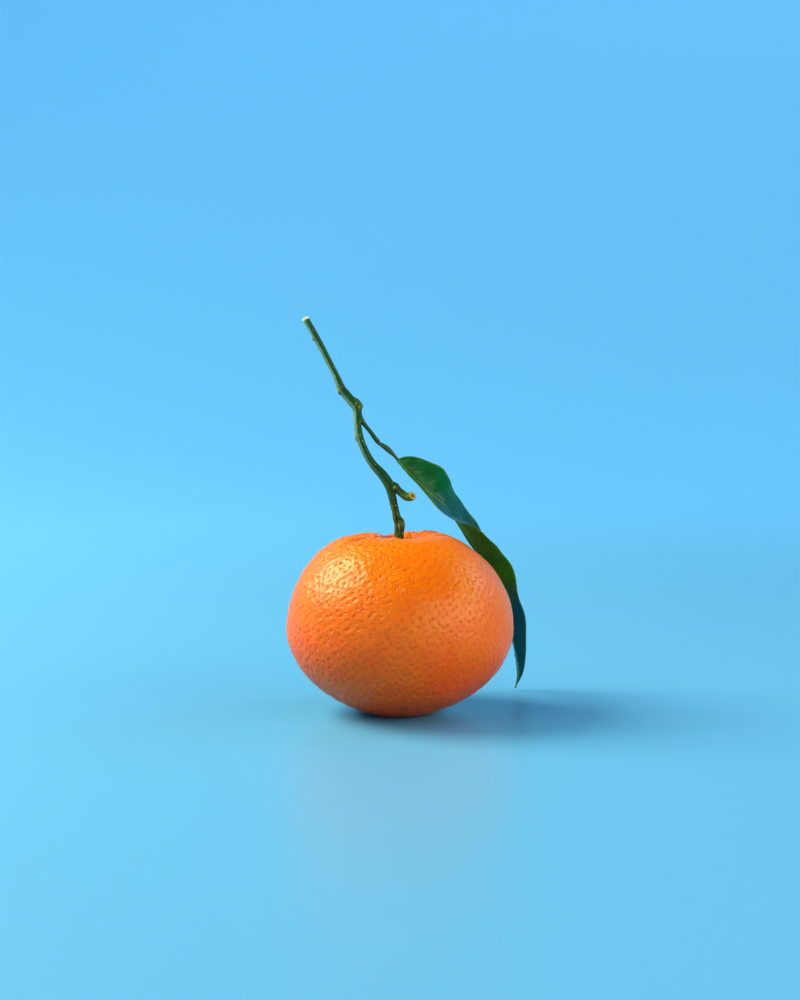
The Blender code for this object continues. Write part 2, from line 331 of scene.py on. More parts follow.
def fruitProfile():
    # radius and height from the middle of the flat spot, round the belly and over the crown to the dimple.
    # belly: r = R cos(t)^(2/n), z = widest + drop sin(t); the crown has its own n and rise, less the dimple
    radius = fruit["radius"]
    widest = fruit["widest"] * radius
    flatLift = math.asin(fruit["widest"] / fruit["bellyDrop"])
    belly = np.linspace(-flatLift, 0, 400)
    crown = np.linspace(0, math.pi / 2, 900)[1:]
    bellyRadii = radius * np.cos(belly) ** (2 / fruit["bellyFullness"])
    crownRadii = radius * np.cos(crown) ** (2 / fruit["crownFullness"])
    dimple = fruit["dimpleDepth"] * radius * bell(crownRadii, fruit["dimpleSpread"] * radius)
    flat = np.linspace(0, bellyRadii[0], 60)[:-1]
    radii = np.concatenate((flat, bellyRadii, crownRadii))
    heights = np.concatenate((
        0 * flat,
        widest + fruit["bellyDrop"] * radius * np.sin(belly),
        widest + fruit["crownRise"] * radius * np.sin(crown) - dimple,
    ))
    lengths = np.concatenate(([0], np.cumsum(np.hypot(np.diff(radii), np.diff(heights)))))
    even = np.linspace(0, lengths[-1], fruit["rows"] + 2)[1:-1]
    return np.interp(even, lengths, radii), np.interp(even, lengths, heights)


def crownRelief(x, y):
    # furrows: less depth times a bell across, strongest three quarters of the way out; shoulders: height
    # times a bell of the distance
    relief = 0 * x
    for degrees, depth, width, reach in fruit["furrows"]:
        turn = math.radians(degrees)
        along = x * math.cos(turn) + y * math.sin(turn)
        across = y * math.cos(turn) - x * math.sin(turn)
        fade = bell(along - 0.75 * reach * mm, 0.6 * reach * mm)
        relief = relief - depth * mm * fade * bell(across, width * mm)
    for centreX, centreY, height, size in fruit["shoulders"]:
        relief = relief + height * mm * bell(np.hypot(x - centreX * mm, y - centreY * mm), size * mm)
    return relief


def scatteredSeeds(smooth, spacing, start):
    # a seed every golden turn down the fruit, spaced evenly by area, then each knocked sideways by chance
    x, _, z = smooth[:, 0].T
    steps = np.hypot(np.diff(x), np.diff(z))
    area = np.concatenate(([0], np.cumsum(math.pi * (x[1:] + x[:-1]) * steps)))
    count = int(area[-1] / (0.87 * spacing**2))
    order = np.arange(count)
    row = np.interp((order + 0.5) / count * area[-1], area, np.arange(len(area)))
    turn = order * math.pi * (3 - math.sqrt(5))
    radius = np.interp(row, np.arange(len(x)), x)
    height = np.interp(row, np.arange(len(z)), z)
    seeds = np.stack((radius * np.cos(turn), radius * np.sin(turn), height), axis=-1)
    lattice = np.stack((order, order, order), axis=-1)
    knock = np.stack([scattered(lattice, start + k) for k in (1, 2, 3)], axis=-1) * 2 - 1
    return seeds + knock * 0.24 * spacing, scattered(lattice, start + 4)


def toNearest(points, normals, seeds, chances):
    # the way along the skin from each point to its nearest seed, its length and the seed's chance: the
    # nearest one has the least |seed|^2 - 2 point.seed, found a block of points at a time
    flat = points.reshape(-1, 3)
    squares = (seeds**2).sum(1)
    blocks = np.array_split(flat, len(flat) // 4000)
    nearest = np.concatenate([(squares - 2 * block @ seeds.T).argmin(axis=1) for block in blocks])
    way = (seeds[nearest] - flat).reshape(points.shape)
    way = way - (way * normals).sum(-1)[:, :, None] * normals
    return way, np.linalg.norm(way, axis=-1), chances[nearest].reshape(points.shape[:2])


def makeFruit():
    radii, heights = fruitProfile()
    turns = evenTurns(fruit["columns"])
    x = radii[:, None] * np.cos(turns)
    y = radii[:, None] * np.sin(turns)
    z = np.broadcast_to(heights[:, None], x.shape)
    widest = fruit["widest"] * fruit["radius"]
    z = z + crownRelief(x, y) * smoothStep(widest, widest + 4 * mm, z)
    smooth = np.stack((x, y, z), axis=-1)
    normals = gridNormals(smooth, True)
    # every oil gland's pore lies in a bell-shaped hollow, with domes between, slow swellings under both
    # and puckers round the stalk
    way, away, owned = toNearest(smooth, normals, *scatteredSeeds(smooth, fruit["poreSpacing"], 50))
    _, fromDome, chance = toNearest(smooth, normals, *scatteredSeeds(smooth, fruit["domeSpacing"], 70))
    hollow = bell(away, fruit["hollowRadius"]) * (0.3 + 0.7 * owned)
    dome = bell(fromDome, fruit["domeRadius"]) * (0.4 + 0.6 * chance)
    swelling = sum(softNoise(smooth, size * mm, seed) * height * mm
                   for size, height, seed in fruit["swellings"])
    fromAxis = np.hypot(x, y)
    (puckered, puckerBreadth), (crestSheenRing, crestSheenBreadth) = fruit["puckered"], fruit["crestSheenRing"]
    nearStalk = bell(fromAxis - puckered, puckerBreadth) * (z > widest)
    unevenTurns = fruit["puckers"] * turns + 2 * np.sin(3 * turns)
    pucker = fruit["puckerHeight"] * nearStalk * np.cos(unevenTurns)
    # painted shade: darker in the furrows by their depth, and deep orange-red in the hollows behind the
    # crest
    hollowShade = fruit["hollowShadeStrength"] * softSpots(smooth[:, :, :2], fruit["hollowShadeSpots"])
    furrowShade = np.maximum(smoothStep(*fruit["furrowShadeDepths"], -crownRelief(x, y)), hollowShade) * (z > widest)
    # painted sheen: a pale ring on the crest round the stalk, away from the furrows
    crest = bell(fromAxis - crestSheenRing, crestSheenBreadth) * (1 - furrowShade) * (z > widest)
    coarse = 1 - fruit["calmSide"] * smoothStep(*fruit["calming"], x)
    pimples = dome * fruit["domeHeight"] - hollow * fruit["hollowDepth"]
    relief = swelling + pucker + pimples * coarse - fruit["sunk"]
    # the relief hangs below the true outline, so that the fruit grows no wider
    limit = -0.06 * mm - 0.16 * mm * smoothStep(0.6, 1, radii / fruit["radius"])[:, None]
    relief = (np.minimum(relief, fruit["highest"]) + limit) * smoothStep(0, 2 * mm, z)
    mesh = meshOf("fruit", *closedTube(smooth + normals * relief[:, :, None]))
    marks = {"fromPore": away / fruit["poreSpacing"], "poreShade": owned, "nearStalk": nearStalk,
             "coarse": coarse, "furrowShade": furrowShade, "crest": crest,
             "scar": softSpots(smooth, fruit["scars"]), "speck": softSpots(smooth, fruit["specks"])}
    addMarks(mesh, marks, (1, 1))
    poreRadius = fruit["poreRadius"] * (0.6 + 0.7 * owned)
    toPore = (way / poreRadius[:, :, None]).reshape(-1, 3)
    addMarks(mesh, {"toPore": np.concatenate((toPore, np.full((2, 3), 5.0)))})
    addPiece("mandarinRind", mesh, rindMaterial(), "fruit")


def rindMaterial():
    # citrus peel, grown and lightly waxed: a saturated orange skin whose oil glands show as darker pits,
    # with a soft broad gloss that breaks up over the pimples
    material, add, shader = newMaterial("lightlyWaxedMandarinPeel")
    place = add("TexCoord", output="Object")
    toPore = add("Attribute", output="Vector", attribute_name="toPore")
    marks = readMarks(
        add, "fromPore", "poreShade", "scar", "nearStalk", "coarse", "speck", "furrowShade", "crest")
    # yellower towards the stalk, redder towards the blossom end, in soft patches
    patches = add("TexNoise", {"Vector": place, "Scale": 1 / (9 * mm), "Detail": 4})
    height = add("SeparateXYZ", {"Vector": place}, "Z")
    heightTint = add("MapRange", {
        "Value": height, "From Min": 4 * mm, "From Max": 48 * mm, "To Min": -0.16, "To Max": 0.52})
    patchShare = add("Math", {0: patches, 1: 0.6, 2: heightTint}, operation="MULTIPLY_ADD", use_clamp=True)
    speckle = add("TexNoise", {"Vector": place, "Scale": 1 / (0.6 * mm), "Detail": 2})
    # inside a pore the way to its middle is shorter than its radius; the guard drops false ones between
    poreWay = add("VectorMath", {0: toPore}, operation="LENGTH")
    inPore = add("MapRange", {"Value": poreWay, "From Min": 1.9, "From Max": 0.2}, **eased)
    guard = add("Math", {0: marks["fromPore"], 1: 0.24}, operation="LESS_THAN")
    pore = add("Math", {0: inPore, 1: guard}, operation="MULTIPLY")
    poreDepth = add("MapRange", {"Value": marks["poreShade"], "To Min": 0.02, "To Max": 0.19})
    deepPore = add("Math", {0: poreDepth, 1: marks["coarse"]}, operation="MULTIPLY")
    poreShare = add("Math", {0: pore, 1: deepPore}, operation="MULTIPLY")
    # the flesh of a gland shows deeper orange round its pore
    halo = add("MapRange", {"Value": marks["fromPore"], "From Min": 0.5, "From Max": 0.1, "To Max": 0.3})
    stalkShare = add("Math", {0: marks["nearStalk"], 1: 0.3}, operation="MULTIPLY")
    # painted shade in the furrows and in the hollows behind the crest
    furrowShadeShare = add("Math", {0: marks["furrowShade"], 1: 0.85}, operation="MULTIPLY")
    # a fine noise breaks the painted sheen on the crest between the furrows into flecks, and breaks up the
    # soft edge of the scars
    sheenAndScarFlecks = []
    for mark in (marks["crest"], marks["scar"]):
        broken = add("Math", {0: mark, 1: speckle}, operation="MULTIPLY")
        sheenAndScarFlecks.append(add("MapRange", {"Value": broken, "From Min": 0.25, "From Max": 0.55, "To Max": 0.5}))
    # every colour is laid over the ones before it by its own share
    skin = "#F64C06"
    for share, color in (
            (patchShare, "#E98A00"), (halo, "#DA5C00"), (poreShare, "#B2480A"), (stalkShare, "#E08A30"),
            # 96380A is painted shade in the furrows and hollows; #D9A078 is a painted sheen on the crest
            (furrowShadeShare, "#96380A"), (sheenAndScarFlecks[0], "#D9A078"), (sheenAndScarFlecks[1], "#D9AC80"),
            (marks["speck"], "#5A3A18")):
        skin = add("Mix", {"Factor": share, "A": skin, "B": color}, data_type="RGBA")
    roughness = add("MapRange", {"Value": speckle, "To Min": 0.23, "To Max": 0.37})
    # relief too fine for the mesh: the pore itself, the gland domes, and a grain that breaks up the gloss
    sunk = add("Bump", {"Strength": marks["coarse"], "Height": pore, "Distance": 0.14 * mm}, invert=True)
    domes = add("TexVoronoi", {
        "Vector": place, "Scale": 1 / (1.1 * mm), "Smoothness": 0.6}, feature="SMOOTH_F1")
    domed = add("Bump", {
        "Strength": marks["coarse"], "Height": domes, "Distance": 0.12 * mm, "Normal": sunk}, invert=True)
    grain = add("Bump", {"Height": speckle, "Distance": 0.09 * mm, "Normal": domed})
    feed(shader, {"Base Color": skin, "Roughness": roughness, "Normal": grain, "IOR": 1.43,
        "Subsurface Weight": 0.1, "Subsurface Radius": (1.0, 0.35, 0.08), "Subsurface Scale": 1.0 * mm})
    return material


# the green button between rind and stalk; sizes in mm, the star's points counted round it
calyx = {"radius": 3.85, "points": 5, "notch": 0.3, "edge": 0.3, "middle": 1.0, "clear": 0.12,
         "crease": 0.14, "curl": 0.35, "wrinkle": 0.07, "columns": 200}


def crownHeight(x, y):
    # the dome over a point near the stalk, less the dimple, with the furrows and shoulders
    radius = fruit["radius"]
    away = np.hypot(x, y)
    dome = fruit["crownRise"] * radius * np.sqrt(1 - (away / radius) ** fruit["crownFullness"])
    dimple = fruit["dimpleDepth"] * radius * bell(away, fruit["dimpleSpread"] * radius)
    return fruit["widest"] * radius + dome - dimple + crownRelief(x, y)


def makeCalyx():
    # layers run under the star from its middle to its edge and back over the top; the edge is about
    # R (1 - notch (1 + cos 5a) / 2), the top rises to the middle and is creased along every point
    turns = evenTurns(calyx["columns"])
    wobble = 0.05 * np.sin(2 * turns + 1) + 0.03 * np.sin(7 * turns)
    star = 0.5 + 0.5 * np.cos(calyx["points"] * turns)
    edge = calyx["radius"] * mm * (1 - calyx["notch"] * star**0.8 - 0.05 + wobble)
    under = np.linspace(0.1, 1, 14)
    over = np.linspace(1, 0.1, 22)
    shares = np.concatenate((under, over))[:, None]
    onTop = np.concatenate((0 * under, 0 * over + 1))[:, None]
    x = shares * edge * np.cos(turns)
    y = shares * edge * np.sin(turns)
    base = crownHeight(x, y) + calyx["clear"] * mm
    thickness = calyx["edge"] + (calyx["middle"] - calyx["edge"]) * (1 - shares**1.5)
    rounded = np.sqrt(np.clip(1 - shares**14, 0, 1))
    crease = calyx["crease"] * np.cos(calyx["points"] * turns) * shares * (1 - shares**6)
    curl = calyx["curl"] * shares**5 * (1 - star)
    wrinkle = calyx["wrinkle"] * softNoise(np.stack((x, y, base), axis=-1), 0.7 * mm, 21)
    top = (thickness * rounded - crease + wrinkle * rounded) * mm
    z = base + curl * mm + onTop * top
    mesh = meshOf("calyx", *closedTube(np.stack((x, y, z), axis=-1)))
    addMarks(mesh, {"toEdge": np.broadcast_to(shares, x.shape)}, (0, 0))
    addPiece("calyxStar", mesh, calyxMaterial(), "calyx")


def calyxMaterial():
    # dried green sepals: dull and faintly wrinkled, browner and paler towards their edge
    material, add, shader = newMaterial("dryingGreenSepal")
    place = add("TexCoord", output="Object")
    toEdge = add("Attribute", output="Fac", attribute_name="toEdge")
    mottle = add("TexNoise", {"Vector": place, "Scale": 1 / (0.8 * mm), "Detail": 3})
    rim = add("MapRange", {"Value": toEdge, "From Min": 0.7, "From Max": 1.0, "To Max": 0.8}, **eased)
    skin = "#4E6B22"
    for share, color in ((mottle, "#8A9A45"), (rim, "#A07A42")):
        skin = add("Mix", {"Factor": share, "A": skin, "B": color}, data_type="RGBA")
    relief = add("Bump", {"Height": mottle, "Distance": 0.1 * mm})
    feed(shader, {"Base Color": skin, "Normal": relief, "Roughness": 0.62})
    return material


# twig rows: x, y and height in mm from the foot of the stalk on the fruit's axis, then radius
twigLow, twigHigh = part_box("twig")
fruitAxis = ((fruitLow.x + fruitHigh.x) / 2, (fruitLow.y + fruitHigh.y) / 2)
stalkFoot = np.array((*fruitAxis, twigLow.z))
twig = {
    "stalkAndShoot": (
        (-0.3, 0.0, -1.0, 1.9), (-0.3, 0.0, 0.6, 1.50), (-0.2, 0.0, 2.6, 1.42), (-0.1, 0.0, 4.5, 1.50),
        (-0.9, 0.0, 6.8, 1.22), (-1.7, 0.0, 10.1, 1.12), (-2.3, 0.0, 13.0, 1.18),
        (-3.0, 0.0, 15.8, 1.42), (-4.7, 0.2, 18.6, 1.42), (-8.0, 0.4, 22.3, 1.16),
        (-10.2, 0.6, 26.1, 1.10), (-11.7, 0.8, 30.0, 1.12), (-12.3, 0.9, 34.0, 1.04),
        (-12.6, 1.0, 38.4, 1.30), (-14.7, 1.1, 41.2, 1.34), (-16.8, 1.2, 43.8, 1.26),
        (-18.2, 1.4, 47.0, 1.02), (-20.8, 1.6, 52.2, 0.98), (-24.0, 1.8, 58.4, 0.96),
        (-27.3, 2.0, 64.25, 0.97),
    ),
    "stub": (
        (-3.1, -0.1, 16.2, 1.35), (-1.9, -0.3, 15.6, 1.32), (-1.3, -0.4, 15.2, 1.42),
        (-0.8, -0.5, 14.8, 1.16), (0.6, -1.0, 13.6, 1.08), (1.9, -1.5, 12.75, 1.20),
        (3.0, -2.1, 12.7, 1.24), (3.7, -3.0, 13.2, 1.25),
    ),
    "sideShoot": (
        (-12.4, 1.0, 37.6, 0.95), (-11.0, 1.2, 34.6, 0.68), (-8.5, 1.6, 31.3, 0.60),
        (-7.1, 1.9, 29.4, 0.68), (-6.5, 2.05, 28.65, 0.72),
    ),
    "shelfTop": (  # the three-cornered leaf scar at the bend: its upper and its lower edge
        (-13.4, 0.9, 40.9, 0.80), (-12.3, 0.7, 40.3, 0.72), (-11.4, 0.55, 39.5, 0.50),
        (-10.8, 0.45, 38.95, 0.38),
    ),
    "shelfFoot": (
        (-12.6, 0.9, 36.2, 0.70), (-11.95, 0.75, 37.4, 0.66), (-11.3, 0.55, 38.4, 0.50),
        (-10.8, 0.45, 38.95, 0.38),
    ),
    "knobs": (  # x, y, height and radius
        (0.75, -0.3, 4.5, 0.66),  # bud on the stalk
        (0.5, -0.3, 3.7, 0.66),
        (-12.0, 0.7, 39.0, 0.85),  # middle of the leaf scar
        (-17.5, 0.4, 43.6, 0.72),  # pruned bud
        (-17.2, 0.3, 42.8, 0.74),
        (-12.7, 0.6, 30.1, 0.50),  # bump
        (-12.6, 0.6, 29.4, 0.58),
        (-25.2, 1.6, 58.3, 0.42),  # bud near the tip
    ),
    "spots": {  # x, y, height and size
        "collar": (-0.9, -0.7, 14.9, 1.9),
        "budScar": (-18.0, 0.0, 43.2, 1.0),
        "bareWood": (-17.9, -0.5, 43.4, 0.5),
        "stubSide": (2.8, -2.1, 12.8, 2.2),
        "scarTip": (-10.9, 0.2, 39.1, 0.9),
        "scarTop": (-12.3, 0.0, 40.2, 0.6),
    },
    "tubes": {  # the rings along each part and the points round it
        "stalkAndShoot": (240, 28), "stub": (50, 24), "sideShoot": (50, 20), "shelfTop": (50, 20),
        "shelfFoot": (50, 20),
    },
    "voxel": 0.13 * mm,
    "ridges": 3,
    "ridgeTurn": 0.2,
    "ridgeHeight": 0.07 * mm,
    "barkHeight": 0.16 * mm,
    "corkSpacing": 1.7 * mm,
    "corkRadius": 0.16 * mm,
    "corkHeight": 0.06 * mm,
    "tornHeight": 0.6 * mm,
    "dishDepth": 0.28 * mm,
}


def roundTube(rows, count, sides):
    # rings of the given radius along a smooth path: cos(a) of the front direction plus sin(a) of the side
    path = smoothRows(np.asarray(rows) * mm, count)
    _, front, side = pathFrames(path[:, :3])
    turns = evenTurns(sides)[:, None]
    spokes = np.cos(turns) * front[:, None] + np.sin(turns) * side[:, None]
    return closedTube(stalkFoot + path[:, None, :3] + spokes * path[:, None, 3:])


def ball(centre, radius):
    # rings of radius r sin(t) at height r cos(t), from one pole to the other
    lifts = np.linspace(0.12, math.pi - 0.12, 12)[:, None]
    turns = -evenTurns(20)
    rings = (np.sin(lifts) * np.cos(turns), np.sin(lifts) * np.sin(turns), np.cos(lifts) + 0 * turns)
    return closedTube(stalkFoot + np.array(centre) * mm + radius * mm * np.stack(rings, axis=-1))


def joinedShape(name, parts):
    # closed surfaces that run into each other, made one skin on a lattice of small voxels and smoothed
    points, faces, count = [], [], 0
    for partPoints, partFaces in parts:
        points.append(partPoints)
        faces += [corners + count for corners in partFaces]
        count += len(partPoints)
    holder = addObject(name, meshOf(name + "Parts", np.concatenate(points), faces))
    skin = holder.modifiers.new("oneSkin", "REMESH")
    skin.mode = "VOXEL"
    skin.voxel_size = twig["voxel"]
    smoothing = holder.modifiers.new("soften", "SMOOTH")
    smoothing.factor = 0.5
    smoothing.iterations = 6
    ready = holder.evaluated_get(bpy.context.evaluated_depsgraph_get())
    mesh = bpy.data.meshes.new_from_object(ready)
    mesh.name = name
    bpy.data.objects.remove(holder)
    mesh.shade_smooth()
    return mesh


def nearestOn(path, points):
    # number of the nearest path point to each point, from |p|^2 - 2 p.q + |q|^2
    squares = (points**2).sum(1)[:, None] - 2 * points @ path.T + (path**2).sum(1)
    return squares.argmin(axis=1)


def makeTwig():
    parts = [roundTube(twig[key], *grid) for key, grid in twig["tubes"].items()]
    parts += [ball(row[:3], row[3]) for row in twig["knobs"]]
    mesh = joinedShape("twig", parts)
    points = np.empty(len(mesh.vertices) * 3, np.float32)
    normals = points.copy()
    mesh.vertices.foreach_get("co", points)
    mesh.vertex_normals.foreach_get("vector", normals)
    points = points.reshape(-1, 3).astype(float)
    normals = normals.reshape(-1, 3).astype(float)
    # each point's place in the twig's own directions: along the wood, and across it to the front and side
    shootSteps, sideSteps = 400, 60
    paths = [smoothRows(np.asarray(twig[key]) * mm, count)[:, :3] + stalkFoot for key, count in (
        ("stalkAndShoot", shootSteps), ("stub", sideSteps), ("sideShoot", sideSteps))]
    path = np.concatenate(paths)
    fronts = np.concatenate([pathFrames(part)[1] for part in paths])
    sides = np.concatenate([pathFrames(part)[2] for part in paths])
    lengths = np.concatenate([np.cumsum(np.linalg.norm(np.diff(part, axis=0, prepend=part[:1]), axis=1))
                              for part in paths])
    nearest = nearestOn(path, points)
    offset = points - path[nearest]
    toFront = (offset * fronts[nearest]).sum(1)
    toSide = (offset * sides[nearest]).sum(1)
    along = lengths[nearest]
    grain = np.stack((toSide, toFront, along / 7), axis=-1)
    height = points[:, 2] - stalkFoot[2]
    angle = np.arctan2(toSide, toFront)
    tip, stubEnd = paths[0][-1], paths[1][-1]
    # old bark: the stalk's lowest part, the collar of the stub and the pruned bud; young bark: the stub's
    # last part and the leaf scar; painted sheen: lighter grey-green on the lit side of the shoot
    near = {name: softSpots(points - stalkFoot, [row]) for name, row in twig["spots"].items()}
    oldStalk = smoothStep(16 * mm, 7 * mm, height)
    woody = np.maximum.reduce((oldStalk, 0.8 * near["collar"], near["budScar"]))
    young = np.maximum.reduce((near["stubSide"], 0.9 * near["scarTip"], 0.6 * near["scarTop"]))
    litSideSheen = smoothStep(0.0, 0.5, angle) * smoothStep(2.5, 1.7, angle) * (nearest < shootSteps)
    litSideSheen = litSideSheen * (0.2 + 0.8 * smoothStep(16 * mm, 34 * mm, height)) * (1 - woody)
    fromTip = np.linalg.norm(points - tip, axis=1)
    tipCut = smoothStep(0.55 * mm, 0.1 * mm, lengths[shootSteps - 1] - along) * (fromTip < 1.5 * mm)
    fromStubEnd = np.linalg.norm(points - stubEnd, axis=1)
    stubWay = stubEnd - paths[1][-8]
    stubFacing = normals @ (stubWay / np.linalg.norm(stubWay))
    stubCut = smoothStep(0.35, 0.75, stubFacing) * (fromStubEnd < 1.4 * mm)
    # relief: ridges that run along the wood, flaking old bark, pale corky spots, and a torn end
    ridge = twig["ridgeHeight"] * np.cos(twig["ridges"] * (angle + twig["ridgeTurn"]))
    ridge = ridge * (1 - woody) * (1 - stubCut)
    flakes = softNoise(grain, 0.45 * mm, 31) + 0.6 * softNoise(grain, 0.22 * mm, 32)
    away, owned = cellSpots(points, normals, twig["corkSpacing"], 33)
    spot = bell(away, twig["corkRadius"]) * (owned > 0.72) * (1 - 0.5 * woody)
    spot = np.maximum(spot, 0.9 * near["bareWood"])  # inside the pruned bud
    torn = softNoise(points, 0.35 * mm, 34) * tipCut
    relief = ridge + flakes * twig["barkHeight"] * (0.12 + 0.88 * woody) * (1 - tipCut) * (1 - stubCut)
    dish = stubCut * smoothStep(0.95 * mm, 0.35 * mm, fromStubEnd) * twig["dishDepth"]
    relief = relief + spot * twig["corkHeight"] - dish
    tornWay = np.array((-0.45, 0, 0.85)) * twig["tornHeight"]
    moved = points + normals * relief[:, None] + tornWay * torn[:, None]
    mesh.vertices.foreach_set("co", moved.astype(np.float32).ravel())
    mesh.update()
    pith = stubCut * smoothStep(0.7 * mm, 0.4 * mm, fromStubEnd)
    marks = {"grain": grain, "woody": woody, "litSideSheen": litSideSheen, "young": young * (1 - stubCut), "tipCut": tipCut,
             "stubCut": stubCut, "pith": pith, "spot": spot}
    addMarks(mesh, marks)
    addPiece("woodyTwig", mesh, barkMaterial(), "twig")


def barkMaterial():
    # first-year citrus shoot: smooth dark green bark with a painted grey-green sheen on its lit side,
    # dotted with cork, turning olive-brown and flaky on the fruit's own stalk, and pale where the wood is
    # cut
    material, add, shader = newMaterial("youngCitrusBark")
    grain = add("Attribute", output="Vector", attribute_name="grain")
    marks = readMarks(add, "woody", "litSideSheen", "young", "tipCut", "stubCut", "pith", "spot")
    streaks = add("TexNoise", {"Vector": grain, "Scale": 1 / (0.55 * mm), "Detail": 3})
    flakes = add("TexNoise", {"Vector": grain, "Scale": 1 / (0.34 * mm), "Detail": 4})
    # painted sheen: grey-green streaks laid on the lit side of the shoot
    sheenShare = add("MapRange", {
        "Value": streaks, "From Min": 0.3, "From Max": 0.7, "To Min": 0.45, "To Max": 0.95})
    paintedSheen = add("Math", {0: sheenShare, 1: marks["litSideSheen"]}, operation="MULTIPLY")
    freshShare = add("Math", {0: marks["young"], 1: 0.8}, operation="MULTIPLY")
    # old bark: dark cracks, olive plates and a few pale flecks where a plate has lifted
    cracked = add("MapRange", {"Value": flakes, "From Min": 0.38, "From Max": 0.6}, **eased)
    lifted = add("MapRange", {"Value": flakes, "From Min": 0.61, "From Max": 0.67, "To Max": 0.6})
    # colours laid over each other by their own shares: the old bark's plates, then the green bark, and over
    # it the plates where the twig is woody, the cork dots and the cuts
    plates, skin = "#14240C", "#07300C"
    for share, color in ((cracked, "#4F6A30"), (lifted, "#A8A47C")):
        plates = add("Mix", {"Factor": share, "A": plates, "B": color}, data_type="RGBA")
    for share, color in (
            # 8DAC88 is the painted sheen on the lit side
            (streaks, "#215C22"), (paintedSheen, "#8DAC88"), (freshShare, "#758A40"), (marks["woody"], plates),
            (marks["spot"], "#B9BB8C"), (marks["tipCut"], "#DDE2C8"), (marks["stubCut"], "#A4AA5A"),
            (marks["pith"], "#6B4A22")):
        skin = add("Mix", {"Factor": share, "A": skin, "B": color}, data_type="RGBA")
    roughness = add("MapRange", {"Value": marks["woody"], "To Min": 0.38, "To Max": 0.75})
    relief = add("Bump", {"Height": flakes, "Distance": 0.1 * mm})
    feed(shader, {"Base Color": skin, "Roughness": roughness, "Normal": relief, "IOR": 1.45,
        "Specular IOR Level": 0.3})
    return material


# leaf stalk rows: x, y and height in mm from the foot of the fruit's stalk, then half the width and
# half the thickness
petiole = {
    "rows": (
        (-7.0, 1.95, 29.25, 0.40, 0.38), (-6.4, 2.08, 28.5, 0.64, 0.58), (-5.9, 2.15, 28.0, 0.56, 0.50),
        (-5.0, 2.30, 27.45, 0.66, 0.48), (-3.7, 2.45, 26.5, 0.80, 0.42), (-2.5, 2.65, 25.4, 0.66, 0.40),
        (-1.6, 2.80, 24.45, 0.48, 0.42), (-0.6, 3.00, 23.3, 0.46, 0.40),
    ),
    "steps": 90,
    "columns": 48,
}


def makePetiole():
    # rings with thin wings and a round middle: the thickness follows (0.25 + 0.75 |sin a|^1.5) sin a, less
    # a groove along the top
    rows = smoothRows(np.asarray(petiole["rows"]) * mm, petiole["steps"])
    _, front, side = pathFrames(rows[:, :3])
    turns = evenTurns(petiole["columns"])
    thick = np.sin(turns) * (0.25 + 0.75 * np.abs(np.sin(turns)) ** 1.5)
    groove = 0.3 * bell(np.cos(turns), 0.25) * (np.sin(turns) > 0)
    wide = np.cos(turns)[:, None] * (side[:, None] * rows[:, None, 3:4])
    deep = (thick - groove)[:, None] * (front[:, None] * rows[:, None, 4:5])
    rings = stalkFoot + rows[:, None, :3] + wide + deep
    mesh = meshOf("petiole", *closedTube(rings[:, ::-1]))
    along = np.broadcast_to(np.linspace(0, 1, len(rows))[:, None], rings.shape[:2])
    wing = np.broadcast_to(np.abs(np.cos(turns[::-1])), rings.shape[:2])
    addMarks(mesh, {"along": along, "wing": wing}, (0, 1))
    addPiece("wingedPetiole", mesh, petioleMaterial(), "petiole")


def petioleMaterial():
    # green leaf stalk: smooth and waxy, paler along its wings, with a dry line at the joint with the shoot
    material, add, shader = newMaterial("waxyGreenLeafStalk")
    place = add("TexCoord", output="Object")
    marks = readMarks(add, "wing", "along")
    mottle = add("TexNoise", {"Vector": place, "Scale": 1 / (0.7 * mm), "Detail": 3})
    rim = add("MapRange", {"Value": marks["wing"], "From Min": 0.8, "To Max": 0.25})
    joint = add("MapRange", {
        "Value": marks["along"], "From Min": 0.12, "From Max": 0.17, "To Min": 0.7, "To Max": 0.0})
    skin = "#113818"
    for share, color in ((mottle, "#366432"), (rim, "#7F9A55"), (joint, "#2A2A12")):
        skin = add("Mix", {"Factor": share, "A": skin, "B": color}, data_type="RGBA")
    relief = add("Bump", {"Height": mottle, "Distance": 0.05 * mm})
    feed(shader, {"Base Color": skin, "Normal": relief, "Roughness": 0.3})
    return material


# leaf blade: its midrib in mm from the foot of the fruit's stalk, and how the blade turns along it
blade = {
    "midrib": (
        (-0.6, 3.0, 23.2), (2.7, 5.0, 19.4), (6.0, 7.0, 15.8), (9.4, 9.0, 12.7), (12.9, 11.0, 9.7),
        (15.8, 12.8, 6.3), (18.3, 14.6, 2.5), (20.6, 16.5, -1.4), (23.1, 18.5, -5.0),
        (26.4, 21.3, -10.4), (29.5, 24.0, -16.8), (32.2, 26.5, -23.7), (34.5, 29.0, -31.0),
        (36.4, 31.4, -38.4), (37.3, 33.3, -45.2), (36.3, 34.6, -49.7),
    ),
    "turns": (  # share of the length, then degrees: roll of the upper face to the front, its two folds
        (0.00, 45, 46, 18), (0.10, 33, 38, 30), (0.20, 29, 17.5, 19), (0.25, 21, 22, 10),
        (0.30, 16, 34, 8), (0.36, 10.7, 38, 10.5), (0.42, 9, 43, 21), (0.50, -6.6, 36, 25.5),
        (0.62, -12, 30, 18), (0.80, -24, 39, 27), (0.90, -34, 34, 20), (1.00, -36, 15, 12),
    ),
    "halfWidth": 11.1 * mm,
    "widestAt": 0.34,
    "pointedness": 1.72,
    "tipHalfWidth": 0.3 * mm,
    "crease": 0.55,  # share of the fold made at the midrib
    "wave": 0.35 * mm,
    "waves": 5.5,
    "thickness": 0.34 * mm,
    "keel": 0.38 * mm,
    "keelWidth": 0.75 * mm,
    "groove": 0.16 * mm,
    "grooveWidth": 0.45 * mm,
    "veinRise": 0.09 * mm,
    "unevenness": 0.22 * mm,
    "veinSpacing": 5.2 * mm,
    "quilting": 0.045 * mm,
    "rows": 330,
    "columns": 76,
}


